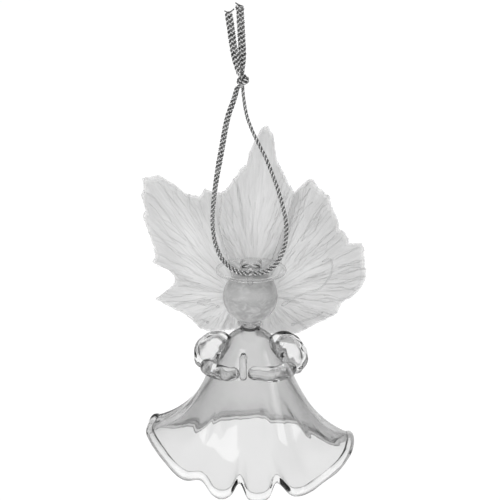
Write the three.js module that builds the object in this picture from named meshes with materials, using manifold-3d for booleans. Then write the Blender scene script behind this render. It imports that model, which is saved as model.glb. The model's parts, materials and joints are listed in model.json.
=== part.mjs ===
// Hanging angel ornament: a blown glass bell for a body, a glass ball head under a thin halo,
// bent glass arms round an upright candle rod, spun-glass leaf wings and a woven ribbon loop.
// Millimetres, +Z up, +X to the right, -Y is the front. The origin is the point inside the top
// of the ribbon loop that a hook or twig would hold.
import * as THREE from 'three';
import { mergeVertices } from 'three/addons/utils/BufferGeometryUtils.js';
import Module from 'manifold-3d';

const wasm = await Module();
wasm.setup();

// ---- driving dimensions ----------------------------------------------------------------
const jointGap = 0.3;            // clearance kept between pieces that touch

// Bell: skirt and bodice blown as one shell. Heights are above the mean hem plane.
const hemRadius = 31;            // mean radius of the ruffled hem
const skirtHeight = 39.6;        // top of the shoulders
const shoulderRadius = 7.2;
const waistRadius = 12.4;
const bodiceLength = 14.6;       // from the shoulders' top down to the waist
const wallThickness = 1.0;
const hemBeadRadius = 1.15;      // the rim is fire-rolled to a round bead
const hemDrop = 1.0;             // scale of the hem's waves

// Head, neck and what stands on the crown
const headRadius = 8.25;
const neckRadius = 2.0;
const neckLength = 2.25;         // from the shoulders' top to the bottom of the ball
const eyeHoleRadius = 1.6;
const eyeRodRadius = 0.85;
const eyeForward = 3.6;          // the eye stands this far in front of the head's centre
const eyeLift = 0.2;             // centre of the eye's hole above the ball's surface
const haloRadius = 10.2;
const haloRodRadius = 0.55;
const haloLift = 0.25;           // the halo's plane above the crown of the ball
const haloForward = 0.8;
const bridgeWidth = 6.6;
const bridgeThickness = 1.1;

// Arms and candle
const sleeveRadius = 4.3;
const forearmRadius = 2.2;
const candleRadius = 1.2;
const candleLength = 8.9;
const candleSide = -1.95;        // the candle stands a little to the left of the middle
const handClearance = 0.6;       // the hands stop this far from the candle
const armDrop = 9.4;             // the forearms lie this far below the shoulders' top
const armClearance = 2.0;        // between the forearms and the bodice

// Wings: three flat fibre mats that lean back a little from the root
const wingThickness = 1.1;
const wingRootLift = 5.4;        // the wings' root above the shoulders' top
const wingClearance = 0.9;       // behind the halo, or behind the head if that reaches further
const wingLean = THREE.MathUtils.degToRad(3);
const wingSweep = THREE.MathUtils.degToRad(8);
const wingStep = 1.5;            // the side mats lie this far behind the middle one
const stayRadius = 0.45;

// Ribbon: a flat woven cord
const ribbonWidth = 2.1;
const ribbonThickness = 0.5;
const knotRadius = 1.75;

// ---- materials ---------------------------------------------------------------------------
const clearGlass = new THREE.MeshStandardMaterial({
  name: 'clear_glass', color: 0xdfe5e6, roughness: 0.04, metalness: 0, transparent: true, opacity: 0.35,
});
const headGlass = new THREE.MeshStandardMaterial({
  name: 'head_glass', color: 0xc4c6c7, roughness: 0.2, metalness: 0, transparent: true, opacity: 0.75,
});
const spunGlass = new THREE.MeshStandardMaterial({
  name: 'spun_glass', color: 0xeeeeee, roughness: 0.75, metalness: 0,
});
const silverRibbon = new THREE.MeshStandardMaterial({
  name: 'silver_ribbon', color: 0x8f9091, roughness: 0.35, metalness: 0.85,
});

// ---- helpers -----------------------------------------------------------------------------
function named(name, geometry, material) {
  const mesh = new THREE.Mesh(geometry, material);
  mesh.name = name;
  return mesh;
}

// A closed solid from rings with equal point counts, fanned shut at a first and a last point.
// Each ring runs anticlockwise seen from the next one.
function loftSolid(rings, firstPoint, lastPoint) {
  const count = rings[0].length;
  const points = [...rings.flat(), firstPoint, lastPoint];
  const first = points.length - 2;
  const last = points.length - 1;
  const index = [];
  for (let i = 0; i < count; i++) {
    const next = (i + 1) % count;
    const end = (rings.length - 1) * count;
    index.push(first, next, i);
    index.push(last, end + i, end + next);
    for (let r = 0; r + 1 < rings.length; r++) {
      const a = r * count;
      const b = a + count;
      index.push(a + i, a + next, b + next, a + i, b + next, b + i);
    }
  }
  const geometry = new THREE.BufferGeometry().setFromPoints(points);
  geometry.setIndex(index);
  return geometry;
}

// A round rod along part of a curve, with a radius that follows radiusAt(0..1).
function rodSolid(curve, from, to, steps, sides, radiusAt) {
  const across = new THREE.Vector3(0, 0, 1);
  const rings = [];
  for (let s = 0; s <= steps; s++) {
    const centre = curve.getPointAt(from + (to - from) * s / steps);
    const tangent = curve.getTangentAt(from + (to - from) * s / steps);
    across.addScaledVector(tangent, -across.dot(tangent)).normalize();
    const side = across.clone();
    const up = new THREE.Vector3().crossVectors(tangent, side);
    const radius = radiusAt(s / steps);
    rings.push(Array.from({ length: sides }, (_, i) => {
      const angle = 2 * Math.PI * i / sides;
      return centre.clone()
        .addScaledVector(side, radius * Math.cos(angle))
        .addScaledVector(up, radius * Math.sin(angle));
    }));
  }
  return loftSolid(rings, curve.getPointAt(from), curve.getPointAt(to));
}

// A solid of revolution about Z through [radius, height] points, from its top down.
function turnedSolid(profile, sides) {
  const rings = profile.map(([radius, height]) => Array.from({ length: sides }, (_, i) => {
    const angle = -2 * Math.PI * i / sides;
    return new THREE.Vector3(radius * Math.cos(angle), radius * Math.sin(angle), height);
  }));
  const top = new THREE.Vector3(0, 0, profile[0][1]);
  const bottom = new THREE.Vector3(0, 0, profile.at(-1)[1]);
  return loftSolid(rings, top, bottom);
}

function toManifold(geometry) {
  const bare = geometry.clone();
  bare.deleteAttribute('normal');
  bare.deleteAttribute('uv');
  const merged = mergeVertices(bare, 1e-4);
  return new wasm.Manifold(new wasm.Mesh({
    numProp: 3,
    vertProperties: Float32Array.from(merged.attributes.position.array),
    triVerts: Uint32Array.from(merged.index.array),
  }));
}

function cutBy(geometry, cutter) {
  const mesh = toManifold(geometry).subtract(toManifold(cutter)).getMesh();
  const result = new THREE.BufferGeometry();
  result.setAttribute('position', new THREE.BufferAttribute(Float32Array.from(mesh.vertProperties), 3));
  result.setIndex(Array.from(mesh.triVerts));
  return result;
}

function vectors(points) {
  return points.map(([x, y, z]) => new THREE.Vector3(x, y, z));
}

// ---- bell --------------------------------------------------------------------------------
const waistHeight = skirtHeight - bodiceLength;

// The bodice's mid-wall profile, [radius, height], from the neck seat to just above the waist.
const bodiceProfile = [
  [neckRadius * 1.2, skirtHeight - 0.6],
  [shoulderRadius * 0.7, skirtHeight - 1.7],
  [shoulderRadius, skirtHeight - 3.8],
  [THREE.MathUtils.lerp(shoulderRadius, waistRadius, 0.33), skirtHeight - 7.0],
  [THREE.MathUtils.lerp(shoulderRadius, waistRadius, 0.66), waistHeight + 4.2],
];

// The hem's waves, [azimuth in degrees, share of the hem radius, height], against the clock.
const hemWaves = [
  [165, 1.0, 6.2], [156, 1.01, 6.6], [143, 1.0, 3.3], [131, 1.01, 0.9], [122, 1.0, 0.7],
  [114, 0.98, 0.8], [106, 0.96, 2.4], [94, 1.0, 2.0], [83, 0.975, 2.7], [76, 0.98, 0.8],
  [70, 0.99, 0.5], [59, 0.985, 1.4], [47, 0.965, -1.2], [29, 0.98, -1.0], [7, 0.985, 4.3],
  [-14, 1.0, 3.4], [-31, 1.0, 1.2], [-46, 0.95, -1.6], [-59, 0.99, -2.6], [-72, 0.89, 1.0],
  [-84, 1.0, -3.2], [-96, 0.89, 1.4], [-106, 0.99, -2.6], [-121, 0.91, 1.5], [-131, 0.98, 1.1],
  [-144, 1.0, 4.2], [-173, 0.985, 6.9],
];

const hemCurve = new THREE.CatmullRomCurve3(hemWaves.map(([degrees, share, height]) => {
  const azimuth = THREE.MathUtils.degToRad(degrees);
  const radius = hemRadius * share;
  return new THREE.Vector3(radius * Math.cos(azimuth), radius * Math.sin(azimuth), hemDrop * height);
}), true, 'centripetal');

function bellGeometry() {
  const columns = 3 * hemWaves.length;
  const flareStations = [0, 0.17, 0.34, 0.52, 0.68, 0.82, 0.93];
  const beadAngles = [1.95, 1.17, 0.39, -0.39, -1.17, -1.95];
  const rings = [];
  for (let c = 0; c < columns; c++) {
    const hem = hemCurve.getPoint(c / columns);
    const azimuth = Math.atan2(hem.y, hem.x);
    const rim = new THREE.Vector2(Math.hypot(hem.x, hem.y), hem.z);
    const flare = new THREE.CubicBezierCurve(
      new THREE.Vector2(waistRadius, waistHeight),
      new THREE.Vector2(waistRadius + 3, waistHeight - 7.5),
      new THREE.Vector2(0.66 * rim.x, rim.y + 3.8),
      rim,
    );
    const middle = [...bodiceProfile.map(([r, z]) => new THREE.Vector2(r, z)),
      ...flareStations.map((t) => flare.getPoint(t))];
    const normals = middle.map((_, i) => {
      const ahead = middle[Math.min(i + 1, middle.length - 1)];
      const behind = middle[Math.max(i - 1, 0)];
      return new THREE.Vector2(behind.y - ahead.y, ahead.x - behind.x).normalize();
    });
    const wall = (side) => middle.map((p, i) => p.clone().addScaledVector(normals[i], side * wallThickness / 2));
    const along = flare.getTangent(1);
    const outward = new THREE.Vector2(-along.y, along.x);
    const bead = beadAngles.map((a) => rim.clone()
      .addScaledVector(along, hemBeadRadius * Math.cos(a))
      .addScaledVector(outward, hemBeadRadius * Math.sin(a)));
    const section = [...wall(1), ...bead, ...wall(-1).reverse()];
    section.forEach((p, r) => {
      rings[r] ??= [];
      rings[r].push(new THREE.Vector3(p.x * Math.cos(azimuth), p.x * Math.sin(azimuth), p.y));
    });
  }
  const apexHeight = skirtHeight - 0.4;
  return loftSolid(
    rings,
    new THREE.Vector3(0, 0, apexHeight + wallThickness / 2),
    new THREE.Vector3(0, 0, apexHeight - wallThickness / 2),
  );
}

// The bodice's outside grown by the joint gap: what stands against the bodice is cut by it.
function bodiceCutter() {
  const growth = wallThickness / 2 + jointGap;
  const profile = [[neckRadius * 1.2, skirtHeight - 0.4 + growth]];
  bodiceProfile.forEach(([r, z]) => profile.push([r + growth, z + growth / 2]));
  profile.push([waistRadius + growth, waistHeight]);
  return turnedSolid(profile, 48);
}

// ---- head group --------------------------------------------------------------------------
const headCentre = new THREE.Vector3(0.1, 0, skirtHeight + neckLength + headRadius);
const eyeReach = headRadius + eyeLift;
const eyeCentre = new THREE.Vector3(
  headCentre.x,
  headCentre.y - eyeForward,
  headCentre.z + Math.sqrt(eyeReach ** 2 - eyeForward ** 2),
);

function headClearance() {
  const ball = new THREE.SphereGeometry(headRadius + jointGap, 40, 28);
  ball.translate(headCentre.x, headCentre.y, headCentre.z);
  return ball;
}

function neckGeometry() {
  const foot = skirtHeight + 0.1 + jointGap;
  const top = skirtHeight + neckLength - jointGap;
  return turnedSolid([
    [neckRadius, top],
    [neckRadius * 0.94, (foot + top) / 2],
    [neckRadius * 1.25, foot],
  ], 20);
}

function headGeometry() {
  const ball = new THREE.SphereGeometry(headRadius, 32, 20);
  ball.rotateX(Math.PI / 2);
  ball.translate(headCentre.x, headCentre.y, headCentre.z);
  return ball;
}

// The hanging eye is a glass ring standing on the crown in the fore-and-aft plane, so its hole
// runs side to side and the ribbon lies through it.
function eyeGeometry() {
  const ring = new THREE.TorusGeometry(eyeHoleRadius + eyeRodRadius, eyeRodRadius, 10, 28);
  ring.rotateY(Math.PI / 2);
  ring.translate(eyeCentre.x, eyeCentre.y, eyeCentre.z);
  return cutBy(ring, headClearance());
}

const haloCentre = new THREE.Vector3(0.3, -haloForward, headCentre.z + headRadius + haloLift);

function haloGeometry() {
  const ring = new THREE.TorusGeometry(haloRadius, haloRodRadius, 8, 44);
  ring.translate(haloCentre.x, haloCentre.y, haloCentre.z);
  return ring;
}

// A flat glass strap from the back of the crown to the back of the halo.
function bridgeGeometry() {
  const front = eyeCentre.y + eyeHoleRadius + 2 * eyeRodRadius + jointGap;
  const back = haloCentre.y + Math.sqrt(haloRadius ** 2 - (bridgeWidth / 2) ** 2) - haloRodRadius - jointGap;
  const half = bridgeWidth / 2;
  const soft = 1.2;
  const outline = new THREE.Shape();
  outline.moveTo(-half + soft, front);
  outline.lineTo(half - soft, front);
  outline.quadraticCurveTo(half, front, half, front + soft);
  outline.lineTo(half, back);
  outline.lineTo(-half, back);
  outline.lineTo(-half, front + soft);
  outline.quadraticCurveTo(-half, front, -half + soft, front);
  const strap = new THREE.ExtrudeGeometry(outline, {
    depth: bridgeThickness, bevelEnabled: false, curveSegments: 4,
  });
  strap.translate(haloCentre.x, 0, haloCentre.z - bridgeThickness / 2);
  return cutBy(strap, headClearance());
}

// ---- arms --------------------------------------------------------------------------------
// The arms make a ring of this radius round the bodice, at this height.
const armRing = THREE.MathUtils.lerp(shoulderRadius, waistRadius, 0.6) + wallThickness / 2
  + forearmRadius + armClearance;
const armHeight = skirtHeight - armDrop;
const candlePlace = new THREE.Vector2(candleSide, -armRing);

function armCurve(side) {
  const hand = candlePlace.x + side * (candleRadius + handClearance);
  return new THREE.CatmullRomCurve3(vectors([
    [side * 0.3 * armRing, 0.03 * armRing, armHeight + 4.4],
    [side * 0.58 * armRing, 0.02 * armRing, armHeight + 4.6],
    [side * 0.81 * armRing, -0.1 * armRing, armHeight + 3.2],
    [side * 0.885 * armRing, -0.4 * armRing, armHeight + 1.2],
    [side * 0.75 * armRing, -0.72 * armRing, armHeight + 0.1],
    [side * 0.44 * armRing, -0.93 * armRing, armHeight],
    [hand, candlePlace.y, armHeight + 0.8],
  ]));
}

const cuffPlace = 0.52;          // where along the arm the sleeve ends

function sleeveGeometry(side) {
  const curve = armCurve(side);
  const puff = (t) => sleeveRadius * (0.62 + 0.38 * Math.sin(Math.PI * Math.min(1, 0.12 + 0.82 * t)));
  const sleeve = rodSolid(curve, 0, cuffPlace, 12, 14, puff);
  return cutBy(sleeve, bodiceCutter());
}

function forearmGeometry(side) {
  const curve = armCurve(side);
  const start = cuffPlace + jointGap / curve.getLength();
  const taper = (t) => forearmRadius * (1.08 - 0.22 * t);
  return rodSolid(curve, start, 1, 12, 12, taper);
}

function candleGeometry() {
  const candle = turnedSolid([
    [candleRadius * 0.25, candleLength],
    [candleRadius * 0.75, candleLength - 0.7],
    [candleRadius, candleLength - 1.7],
    [candleRadius * 0.94, candleLength / 2],
    [candleRadius, 0.5],
    [candleRadius * 0.7, 0],
  ], 14);
  candle.translate(candlePlace.x, candlePlace.y, armHeight - 1.7);
  return candle;
}

// ---- wings -------------------------------------------------------------------------------
// Outlines are [across, up] from the wings' root on the angel's axis.
const wingRootHeight = skirtHeight + wingRootLift;
const backOfHalo = haloCentre.y + haloRadius + haloRodRadius
  - (haloCentre.z - wingRootHeight) * Math.tan(wingLean);
const backOfHead = headRadius - (headCentre.z - wingRootHeight) * Math.tan(wingLean);
const wingRootDepth = Math.max(backOfHalo, backOfHead) + wingThickness / 2 + wingClearance;

const middleWing = [
  [-8.5, 34], [-6.5, 35.5], [-5, 38], [-2.5, 41.5], [-0.5, 43], [-0.5, 46], [1, 49], [2.5, 52.5],
  [4, 54.5], [5.5, 54.5], [7, 52], [7.5, 48], [8, 44.5], [9.5, 41], [11, 38.5], [11.5, 36.5],
  [13.5, 34], [10.5, 23.5], [6, 11], [3.5, -5], [-3, -5], [-6.5, 12], [-9.5, 23.5],
];
const leftWing = [
  [-12, -11], [-15.5, -10], [-18.5, -6.5], [-23, -4.5], [-29, -1.5], [-26.5, 0.5], [-23.5, 3],
  [-23, 5], [-23.5, 6.5], [-26, 8.5], [-30, 10], [-29, 12], [-29.5, 15], [-31, 19], [-33, 24.5],
  [-32, 26.5], [-33.5, 31], [-32.5, 33.5], [-33.5, 36], [-28, 37.5], [-25.5, 36], [-22, 34],
  [-20, 32], [-15.5, 31.5], [-14, 34], [-12, 33], [-8.5, 33], [-4, 26], [-1, 12], [-0.5, -0.5],
  [-1, -9.5],
];
const rightWing = [
  [13.5, 32.5], [15.5, 34.5], [18.5, 37], [19.5, 36.5], [21, 34], [24.5, 31], [25, 28], [27, 23.5],
  [27.5, 20.5], [29.5, 19], [30.5, 16], [34.5, 16], [35, 11], [35.5, 6], [34, 2], [31, -1],
  [28, -2.5], [26.5, -6], [20, -9], [15, -11.5], [12.5, -12], [2, -11], [1, -0.5], [3.5, 15], [9, 27.5],
];

// A mat is cut flat, then leaned back about its root and swept back to its own side.
function wingMesh(name, outline, sweep, step) {
  const shape = new THREE.Shape(outline.map(([x, up]) => new THREE.Vector2(x, up)));
  const mat = new THREE.ExtrudeGeometry(shape, { depth: wingThickness, bevelEnabled: false });
  mat.translate(0, 0, -wingThickness / 2);
  mat.rotateX(Math.PI / 2 - wingLean);
  const mesh = named(name, mat, spunGlass);
  mesh.rotation.z = sweep;
  mesh.position.set(0, wingRootDepth + step, wingRootHeight);
  return mesh;
}

// A bead of clear cement between the bodice's back and the middle mat's root.
function rootPadGeometry() {
  const front = shoulderRadius * 0.78;
  const back = wingRootDepth - wingThickness / 2 - 0.35 - jointGap;
  const outline = new THREE.Shape();
  outline.absellipse(0, 0, 4.2, 2.3, 0, 2 * Math.PI);
  const pad = new THREE.ExtrudeGeometry(outline, {
    depth: back - front, bevelEnabled: false, curveSegments: 10,
  });
  pad.rotateX(Math.PI / 2);
  pad.translate(0, back, skirtHeight + 0.9);
  return cutBy(cutBy(pad, headClearance()), bodiceCutter());
}

// Thin clear rods that brace the side mats from in front.
function stayMesh(name, route) {
  const clearance = wingThickness / 2 + jointGap + stayRadius;
  const curve = new THREE.CatmullRomCurve3(route.map(([x, up]) => new THREE.Vector3(
    x,
    wingRootDepth + wingStep + Math.abs(x) * Math.tan(wingSweep)
      + up * Math.tan(wingLean) - clearance / Math.cos(wingSweep),
    wingRootHeight + up,
  )));
  return named(name, rodSolid(curve, 0, 1, 14, 8, () => stayRadius), clearGlass);
}

// ---- ribbon ------------------------------------------------------------------------------
// Routes are [across, up] in the plane of the loop, above the hem plane.
const loopRoute = [
  [-3.7, 117.3], [-4.9, 113.0], [-6.8, 107.0], [-8.5, 97.5], [-10.3, 86.5], [-11.2, 76.5],
  [-10.7, 69.6], [-9.1, 64.5], [-6.8, 61.2], [-3.6, 59.0], [0.1, 58.45], [3.9, 58.9], [7.2, 60.8],
  [9.5, 64.6], [10.8, 69.6], [10.7, 75.0], [9.3, 81.6], [7.2, 88.4], [4.5, 95.4], [1.5, 101.6],
  [-0.8, 107.6], [-1.8, 113.0], [-2.2, 117.0],
];
const loopPlane = eyeCentre.y;
const knotCentre = new THREE.Vector3(-2.3, loopPlane, 119.1);
const tailOffset = 0.55;         // the two tails lie one in front of the other
const leftTailRoute = [
  [-3.3, 121.3], [-3.8, 124.0], [-4.5, 127.5], [-5.1, 131.0], [-5.6, 135.0], [-6.1, 138.5], [-6.6, 141.4],
];
const rightTailRoute = [
  [-2.4, 121.3], [-2.3, 124.5], [-2.3, 128.0], [-2.5, 132.0], [-2.7, 136.0], [-2.9, 140.0], [-3.0, 143.2],
];

function ribbonSection(width, thickness) {
  const cut = 0.3;
  const x = width / 2;
  const y = thickness / 2;
  return new THREE.Shape([
    [x, -y * cut], [x, y * cut], [x - y * 0.7, y], [-x + y * 0.7, y],
    [-x, y * cut], [-x, -y * cut], [-x + y * 0.7, -y], [x - y * 0.7, -y],
  ].map(([u, v]) => new THREE.Vector2(u, v)));
}

// The sweep carries the section's first axis fore and aft, so a tail lies across it instead.
function ribbonGeometry(route, depth, steps, section) {
  const curve = new THREE.CatmullRomCurve3(route.map(([x, up]) => new THREE.Vector3(x, depth, up)));
  return new THREE.ExtrudeGeometry(section, { steps, bevelEnabled: false, extrudePath: curve });
}

function knotGeometry() {
  const knot = new THREE.SphereGeometry(knotRadius, 14, 10);
  knot.scale(1, 0.85, 1);
  knot.translate(knotCentre.x, knotCentre.y, knotCentre.z);
  return knot;
}

// ---- assembly ----------------------------------------------------------------------------
const loopSection = ribbonSection(ribbonWidth, ribbonThickness);
const tailSection = new THREE.Shape(ribbonSection(ribbonWidth, ribbonThickness).getPoints()
  .slice(0, 8).map((p) => new THREE.Vector2(-p.y, p.x)));

const angel = new THREE.Group();
angel.add(named('bell_skirt', bellGeometry(), clearGlass));
angel.add(named('neck', neckGeometry(), clearGlass));
angel.add(named('head_ball', headGeometry(), headGlass));
angel.add(named('hanging_eye', eyeGeometry(), clearGlass));
angel.add(named('halo_ring', haloGeometry(), clearGlass));
angel.add(named('halo_bridge', bridgeGeometry(), clearGlass));
for (const [word, side] of [['left', -1], ['right', 1]]) {
  angel.add(named(`sleeve_${word}`, sleeveGeometry(side), clearGlass));
  angel.add(named(`forearm_${word}`, forearmGeometry(side), clearGlass));
}
angel.add(named('candle_rod', candleGeometry(), clearGlass));
angel.add(wingMesh('wing_middle', middleWing, 0, 0));
angel.add(wingMesh('wing_left', leftWing, -wingSweep, wingStep));
angel.add(wingMesh('wing_right', rightWing, wingSweep, wingStep));
angel.add(named('wing_root_pad', rootPadGeometry(), clearGlass));
angel.add(stayMesh('wing_stay_upper_right', [
  [9.5, -2.2], [15, 0.7], [21, 2.6], [24, 6], [24.9, 9.5], [24, 11.8], [21.8, 10.9],
]));
angel.add(stayMesh('wing_stay_lower_right', [[12.5, -8.5], [16, -7.4], [19.5, -6.4], [22, -5]]));
angel.add(stayMesh('wing_stay_upper_left', [[-9.3, -2.8], [-11.2, -1.8], [-13.2, -2.4], [-16, -1.6]]));
angel.add(stayMesh('wing_stay_lower_left', [[-12.4, -7.8], [-14.2, -7], [-16.5, -7.2], [-19, -5.8]]));
angel.add(named('ribbon_loop', ribbonGeometry(loopRoute, loopPlane, 46, loopSection), silverRibbon));
angel.add(named('ribbon_knot', knotGeometry(), silverRibbon));
angel.add(named('ribbon_tail_left',
  ribbonGeometry(leftTailRoute, loopPlane - tailOffset, 9, tailSection), silverRibbon));
angel.add(named('ribbon_tail_right',
  ribbonGeometry(rightTailRoute, loopPlane + tailOffset, 9, tailSection), silverRibbon));

// The hook touches the ribbon where the loop's two legs meet under the knot.
const hookPoint = new THREE.Vector3(-3.3, loopPlane, 117.0);
angel.position.copy(hookPoint).negate();

const ornament = new THREE.Group();
ornament.add(angel);

export default ornament;
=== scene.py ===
import json
import math
import random

import bmesh
import bpy
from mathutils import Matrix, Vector, noise
from mathutils.bvhtree import BVHTree

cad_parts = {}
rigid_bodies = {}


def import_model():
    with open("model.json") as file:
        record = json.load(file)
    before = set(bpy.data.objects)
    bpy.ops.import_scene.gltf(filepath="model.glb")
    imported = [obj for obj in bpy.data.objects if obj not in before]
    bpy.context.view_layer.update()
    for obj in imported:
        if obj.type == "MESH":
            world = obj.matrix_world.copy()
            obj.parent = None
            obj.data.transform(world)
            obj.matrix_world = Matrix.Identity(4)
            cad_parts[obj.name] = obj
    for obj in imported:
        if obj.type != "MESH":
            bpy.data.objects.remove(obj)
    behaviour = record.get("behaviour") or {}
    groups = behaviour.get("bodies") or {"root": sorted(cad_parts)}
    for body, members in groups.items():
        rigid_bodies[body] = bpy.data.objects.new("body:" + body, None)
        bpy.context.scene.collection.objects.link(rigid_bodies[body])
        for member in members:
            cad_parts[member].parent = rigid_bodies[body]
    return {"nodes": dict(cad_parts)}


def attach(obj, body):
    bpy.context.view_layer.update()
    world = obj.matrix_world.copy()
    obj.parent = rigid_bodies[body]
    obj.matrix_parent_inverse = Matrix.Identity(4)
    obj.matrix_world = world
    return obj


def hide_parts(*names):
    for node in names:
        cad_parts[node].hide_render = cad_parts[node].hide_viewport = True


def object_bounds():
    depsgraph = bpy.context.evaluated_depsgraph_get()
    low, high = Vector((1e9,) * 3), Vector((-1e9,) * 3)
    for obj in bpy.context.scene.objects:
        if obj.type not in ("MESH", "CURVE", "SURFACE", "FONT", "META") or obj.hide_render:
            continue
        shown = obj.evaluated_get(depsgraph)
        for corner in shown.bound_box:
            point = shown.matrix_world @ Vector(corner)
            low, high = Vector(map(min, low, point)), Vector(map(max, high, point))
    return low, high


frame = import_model()
cad_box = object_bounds()

# Looks for the hanging glass angel: fire-polished glass, spun-glass leaf wings and a braided
# ribbon. Sizes are in the angel's own millimetres: +X right, -Y the front, +Z up from the mean
# hem plane. at() turns them into metres in the row frame.

MM = 0.001
HOOK = Vector((-3.3, -3.6, 117.0))        # the row's origin

# Sizes shared with the CAD part
SHOULDERS = 39.6
HEAD_CENTRE = Vector((0.1, 0.0, 50.1))
HEAD_RADIUS = 8.25
EYE_CENTRE = Vector((0.1, -3.6, 57.745))
EYE_RADIUS = 2.45
EYE_ROD = 0.85
HEM_RADIUS = 31.0
ARM_RING = 15.02                          # the arms bend round the body at this radius
ARM_HEIGHT = 30.2
CANDLE_SIDE = -1.95
CANDLE_RADIUS = 1.2
WING_ROOT = Vector((0.0, 10.69, 45.0))
WING_LEAN = math.radians(3)
WING_SWEEP = math.radians(8)
WING_STEP = 1.5                           # the side mats lie this far behind the middle one
RIBBON_WIDTH = 2.1
LOOP_PLANE = -3.6
KNOT_CENTRE = Vector((-2.3, LOOP_PLANE, 119.1))
TAIL_OFFSET = 0.55                        # the two tails lie one in front of the other

# Camera
VIEW_ELEVATION = math.radians(19)
VIEW_DISTANCE = 2.5
FRAME_WIDTH = 0.150                       # what the picture takes in at the object
SENSOR = 36.0
AIM_HEIGHT = 64.72

GLASS_IOR = 1.45


def at(x, y, z):
    """A point given in the angel's millimetres, in metres in the row frame."""
    return (Vector((x, y, z)) - HOOK) * MM


def at_v(v):
    """The same for a Vector."""
    return at(v.x, v.y, v.z)


AIM = at(0.0, 0.0, AIM_HEIGHT)


# ---- mesh helpers ---------------------------------------------------------------------------
def mesh_object(name, points, faces):
    mesh = bpy.data.meshes.new(name)
    mesh.from_pydata([tuple(p) for p in points], [], faces)
    mesh.validate()
    mesh.update()
    mesh.polygons.foreach_set("use_smooth", [True] * len(mesh.polygons))
    piece = bpy.data.objects.new(name, mesh)
    bpy.context.scene.collection.objects.link(piece)
    return piece


def curve_points(points, steps=12):
    """Catmull-Rom through the points, with a fixed number of steps from one to the next."""
    ends = [2 * points[0] - points[1], *points, 2 * points[-1] - points[-2]]
    fine = []
    for i in range(1, len(ends) - 2):
        a, b, c, d = ends[i - 1:i + 3]
        for k in range(steps):
            t = k / steps
            fine.append(0.5 * (2 * b + (c - a) * t + (2 * a - 5 * b + 4 * c - d) * t * t
                               + (3 * b - a - 3 * c + d) * t ** 3))
    fine.append(points[-1])
    return fine


def smooth_path(points, samples):
    """A smooth line through the points, resampled evenly by length, and its length."""
    fine = curve_points([Vector(p) for p in points])
    lengths = [0.0]
    for a, b in zip(fine, fine[1:]):
        lengths.append(lengths[-1] + (b - a).length)
    out = []
    j = 0
    for s in range(samples):
        goal = lengths[-1] * s / (samples - 1)
        while j < len(fine) - 2 and lengths[j + 1] < goal:
            j += 1
        span = lengths[j + 1] - lengths[j] or 1.0
        out.append(fine[j].lerp(fine[j + 1], min(1.0, (goal - lengths[j]) / span)))
    return out, lengths[-1]


def frames_along(path, start_side):
    """Tangent, side and up at each point, carried along without twist."""
    result = []
    side = Vector(start_side)
    for i, _ in enumerate(path):
        tangent = (path[min(i + 1, len(path) - 1)] - path[max(i - 1, 0)]).normalized()
        side = (side - tangent * side.dot(tangent)).normalized()
        result.append((tangent, side.copy(), tangent.cross(side)))
    return result


def skin(rings):
    """Points and faces over rings of equal point counts, with a fan at each end."""
    count = len(rings[0])
    points = [p for ring in rings for p in ring]
    faces = []
    for r in range(len(rings) - 1):
        for i in range(count):
            n = (i + 1) % count
            faces.append((r * count + i, r * count + n, (r + 1) * count + n, (r + 1) * count + i))
    first = len(points)
    last = first + 1
    points.append(sum(rings[0], Vector()) / count)
    points.append(sum(rings[-1], Vector()) / count)
    end = (len(rings) - 1) * count
    for i in range(count):
        n = (i + 1) % count
        faces.append((first, n, i))
        faces.append((last, end + i, end + n))
    return points, faces


def rounded(t, length, radius, start, end):
    """0..1 factor that closes a rod's ends like a drop of melted glass."""
    factor = 1.0
    reach = min(0.45, 1.15 * radius / length)
    if start and t < reach:
        factor = math.sqrt(max(0.0, 1 - (1 - t / reach) ** 2))
    if end and t > 1 - reach:
        factor = min(factor, math.sqrt(max(0.0, 1 - (1 - (1 - t) / reach) ** 2)))
    return max(factor, 0.04)


def rod(name, points, radius_at, sides=28, steps=72, start_side=(0, 0, 1), flat=1.0, ends=(True, True),
        gather=0.0, gathers=7, twist=0.0):
    """A glass rod along a route. radius_at takes 0..1 and gives millimetres.

    flat widens it along its side. gather, gathers and twist give it shallow twisted folds.
    """
    path, length = smooth_path(points, steps)
    rings = []
    for i, (centre, (_, side, up)) in enumerate(zip(path, frames_along(path, start_side))):
        t = i / (steps - 1)
        radius = radius_at(t)
        radius *= rounded(t, length, radius, *ends)
        ring = []
        for k in range(sides):
            angle = 2 * math.pi * k / sides
            r = radius * (1 + gather * math.cos(gathers * angle + twist * t))
            ring.append(at_v(centre + side * (r * flat * math.cos(angle)) + up * (r * math.sin(angle))))
        rings.append(ring)
    return mesh_object(name, *skin(rings))


def hollowed(outer, inner):
    """Gives outer the air pocket of a blown piece: inner's skin, turned inside out."""
    work = bmesh.new()
    work.from_mesh(outer.data)
    pocket = bmesh.new()
    pocket.from_mesh(inner.data)
    bmesh.ops.reverse_faces(pocket, faces=pocket.faces)
    bare = bpy.data.meshes.new("pocket")
    pocket.to_mesh(bare)
    work.from_mesh(bare)
    work.to_mesh(outer.data)
    for spent in (work, pocket):
        spent.free()
    bpy.data.meshes.remove(bare)
    bpy.data.objects.remove(inner)


def ripple(piece, size, depth, stretch=(1, 1, 1)):
    """Hand-blown unevenness: vertices move along their normals by smooth noise."""
    mesh = piece.data
    moved = []
    for vertex in mesh.vertices:
        p = vertex.co / MM
        value = noise.noise(Vector((p.x * stretch[0], p.y * stretch[1], p.z * stretch[2])) / size)
        moved.extend(vertex.co + vertex.normal * (value * depth * MM))
    mesh.vertices.foreach_set("co", moved)
    mesh.update()


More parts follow.
